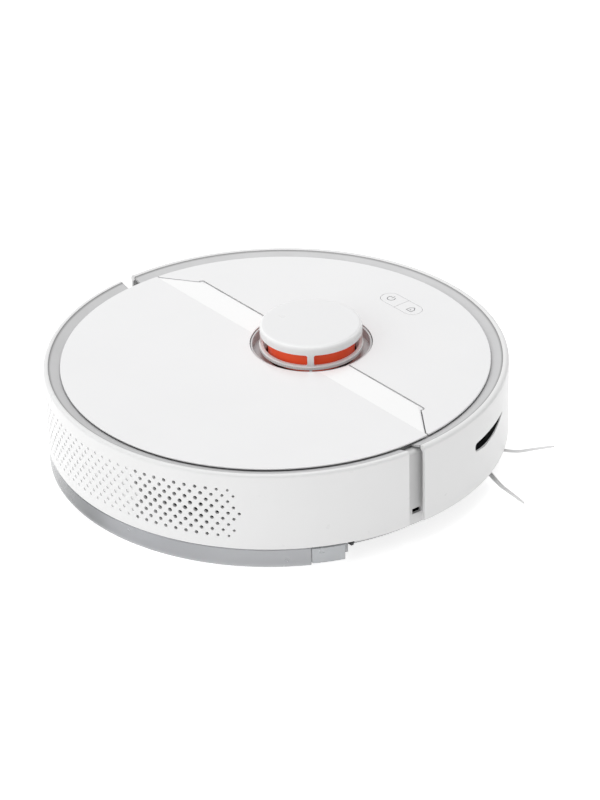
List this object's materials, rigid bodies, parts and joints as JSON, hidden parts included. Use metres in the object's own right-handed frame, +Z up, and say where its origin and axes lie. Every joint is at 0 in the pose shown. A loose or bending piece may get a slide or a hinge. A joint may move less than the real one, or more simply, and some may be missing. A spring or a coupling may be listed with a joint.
{
  "type": "robot vacuum",
  "caption": "Round robot vacuum with a laser tower, hinged lid over a dust bin, sprung bumper and drive wheels, side brush and a rear mop tank.",
  "frame": {"origin": "on the floor, under the centre of the round body", "axes": "+X to the right, +Y to the front where the bumper is, +Z up"},
  "size_m": [0.361, 0.351, 0.0965],
  "materials": {
    "white_shell": "glossy white moulded plastic",
    "deck_white": "glossy very light grey moulded plastic",
    "band_white": "glossy white insert",
    "trim_grey": "satin light grey plastic",
    "inner_grey": "matte light grey plastic",
    "dark_plastic": "matte black plastic",
    "pan_grey": "matte dark grey plastic",
    "sensor_black": "glossy infrared-clear black",
    "rotor_red": "glossy red-orange plastic",
    "smoke_clear": "smoky translucent plastic",
    "latch_clear": "milky translucent grey plastic",
    "bin_clear": "tinted clear plastic",
    "filter_white": "pleated paper filter",
    "cloth_grey": "looped microfibre cloth",
    "tyre_rubber": "matte black rubber",
    "hub_grey": "matte grey plastic",
    "brush_rubber": "matte orange rubber",
    "arm_rubber": "translucent soft rubber",
    "gear_nylon": "natural nylon",
    "steel": "plain steel",
    "motor_steel": "zinc-plated can",
    "contact_metal": "nickel-plated contact",
    "board_green": "green circuit board",
    "battery_blue": "shrink-wrapped cells",
    "belt_black": "black rubber belt"
  },
  "bodies": {
    "root": {"rear_shell": "white_shell", "rear_trim_ring": "trim_grey", "front_deck": "deck_white", "lid_hinge_pins": "steel", "inner_deck": "inner_grey", "bumper_backing_wall": "inner_grey", "base_pan": "pan_grey", "case_screws": "steel", "cliff_sensor_windows": "sensor_black", "charging_contacts": "contact_metal", "battery_cover": "pan_grey", "tower_recess_ring": "trim_grey", "lidar_base_plate": "dark_plastic", "lidar_motor": "motor_steel", "lidar_belt": "belt_black", "battery_pack": "battery_blue", "main_board": "board_green", "speaker": "dark_plastic", "bumper_switches": "dark_plastic", "dust_bin": "bin_clear", "bin_filter": "filter_white", "bin_cover": "dark_plastic", "fan_housing": "dark_plastic", "brush_chamber": "dark_plastic", "brush_motor": "motor_steel", "brush_cover": "pan_grey", "side_brush_motor": "dark_plastic", "wheel_wells": "dark_plastic"},
    "bumper": {"bumper_shell": "white_shell", "bumper_trim_ring": "trim_grey", "wall_sensor_window": "sensor_black"},
    "lid": {"rear_lid": "deck_white", "lid_band": "band_white"},
    "tower_guard": {"tower_guard": "white_shell"},
    "lidar_rotor": {"lidar_rotor": "rotor_red", "lidar_lenses": "sensor_black"},
    "lidar_pulley": {"lidar_pulley": "gear_nylon"},
    "power_button": {"power_button": "deck_white"},
    "dock_button": {"dock_button": "deck_white"},
    "main_brush": {"main_brush_core": "hub_grey", "main_brush_fins": "brush_rubber"},
    "brush_idler": {"brush_idler_gear": "gear_nylon"},
    "brush_pinion": {"brush_pinion": "gear_nylon"},
    "side_brush": {"side_brush_hub": "hub_grey", "side_brush_arms": "arm_rubber"},
    "side_brush_pinion": {"side_brush_pinion": "gear_nylon"},
    "fan": {"fan_impeller": "gear_nylon"},
    "left_suspension": {"left_wheel_arm": "dark_plastic"},
    "right_suspension": {"right_wheel_arm": "dark_plastic"},
    "left_wheel": {"left_wheel_hub": "hub_grey", "left_tyre": "tyre_rubber"},
    "right_wheel": {"right_wheel_hub": "hub_grey", "right_tyre": "tyre_rubber"},
    "caster": {"caster_fork": "hub_grey"},
    "caster_wheel": {"caster_wheel": "tyre_rubber"},
    "tank": {"water_tank": "smoke_clear", "tank_plug": "dark_plastic", "mop_cloth": "cloth_grey"},
    "right_latch": {"right_tank_latch": "latch_clear"},
    "left_latch": {"left_tank_latch": "latch_clear"}
  },
  "joints": [
    {"name": "bumper_press", "type": "slide", "parent": "root", "child": "bumper", "axis": [0, -1, 0], "range_m": [0, 0.003], "stiffness_N_per_m": 400, "springref_m": -0.002},
    {"name": "lid_hinge", "type": "hinge", "parent": "root", "child": "lid", "pos_m": [0, 0.0316, 0.078], "axis": [-1, 0, 0], "range_deg": [0, 90]},
    {"name": "tower_press", "type": "slide", "parent": "root", "child": "tower_guard", "axis": [0, 0, -1], "range_m": [0, 0.001], "stiffness_N_per_m": 1500, "springref_m": -0.001},
    {"name": "lidar_spin", "type": "hinge", "parent": "root", "child": "lidar_rotor", "pos_m": [0, 0.035, 0.08], "axis": [0, 0, 1], "continuous": true},
    {"name": "lidar_pulley_spin", "type": "hinge", "parent": "root", "child": "lidar_pulley", "pos_m": [-0.03677, 0.07177, 0.068], "axis": [0, 0, 1], "continuous": true},
    {"name": "power_press", "type": "slide", "parent": "root", "child": "power_button", "axis": [0, 0, -1], "range_m": [0, 0.0008], "stiffness_N_per_m": 800, "springref_m": -0.0003},
    {"name": "dock_press", "type": "slide", "parent": "root", "child": "dock_button", "axis": [0, 0, -1], "range_m": [0, 0.0008], "stiffness_N_per_m": 800, "springref_m": -0.0003},
    {"name": "main_brush_spin", "type": "hinge", "parent": "root", "child": "main_brush", "pos_m": [0, 0.002, 0.0215], "axis": [1, 0, 0], "continuous": true},
    {"name": "brush_idler_spin", "type": "hinge", "parent": "root", "child": "brush_idler", "pos_m": [-0.0843, 0.02375, 0.03164], "axis": [1, 0, 0], "continuous": true},
    {"name": "brush_pinion_spin", "type": "hinge", "parent": "root", "child": "brush_pinion", "pos_m": [-0.0843, 0.04115, 0.03976], "axis": [1, 0, 0], "continuous": true},
    {"name": "side_brush_spin", "type": "hinge", "parent": "root", "child": "side_brush", "pos_m": [0.112, 0.091, 0.012], "axis": [0, 0, 1], "continuous": true},
    {"name": "side_pinion_spin", "type": "hinge", "parent": "root", "child": "side_brush_pinion", "pos_m": [0.09896, 0.08041, 0.0186], "axis": [0, 0, 1], "continuous": true},
    {"name": "fan_spin", "type": "hinge", "parent": "root", "child": "fan", "pos_m": [0.101, -0.08, 0.05], "axis": [0, 0, 1], "continuous": true},
    {"name": "left_suspension_droop", "type": "hinge", "parent": "root", "child": "left_suspension", "pos_m": [-0.094, 0.0468, 0.036], "axis": [1, 0, 0], "range_deg": [0, 18], "stiffness_Nm_per_rad": 0.2, "springref_deg": 34.38},
    {"name": "right_suspension_droop", "type": "hinge", "parent": "root", "child": "right_suspension", "pos_m": [0.094, 0.0468, 0.036], "axis": [1, 0, 0], "range_deg": [0, 18], "stiffness_Nm_per_rad": 0.2, "springref_deg": 34.38},
    {"name": "left_wheel_spin", "type": "hinge", "parent": "left_suspension", "child": "left_wheel", "pos_m": [-0.111, 0, 0.033], "axis": [1, 0, 0], "continuous": true},
    {"name": "right_wheel_spin", "type": "hinge", "parent": "right_suspension", "child": "right_wheel", "pos_m": [0.111, 0, 0.033], "axis": [1, 0, 0], "continuous": true},
    {"name": "caster_swivel", "type": "hinge", "parent": "root", "child": "caster", "pos_m": [0, 0.128, 0.03], "axis": [0, 0, 1], "continuous": true},
    {"name": "caster_wheel_spin", "type": "hinge", "parent": "caster", "child": "caster_wheel", "pos_m": [0, 0.122, 0.012], "axis": [1, 0, 0], "continuous": true},
    {"name": "tank_slide", "type": "slide", "parent": "root", "child": "tank", "axis": [0, -1, 0], "range_m": [0, 0.12]},
    {"name": "right_latch_press", "type": "slide", "parent": "tank", "child": "right_latch", "axis": [-0.8934, 0.4493, 0], "range_m": [0, 0.002], "stiffness_N_per_m": 600, "springref_m": -0.0005},
    {"name": "left_latch_press", "type": "slide", "parent": "tank", "child": "left_latch", "axis": [0.8934, 0.4493, 0], "range_m": [0, 0.002], "stiffness_N_per_m": 600, "springref_m": -0.0005}
  ],
  "couplings": [
    {"joint": "lidar_pulley_spin", "follows": "lidar_spin", "ratio": 7},
    {"joint": "brush_idler_spin", "follows": "main_brush_spin", "ratio": -0.66667},
    {"joint": "brush_pinion_spin", "follows": "main_brush_spin", "ratio": 2},
    {"joint": "side_pinion_spin", "follows": "side_brush_spin", "ratio": -2.5}
  ]
}
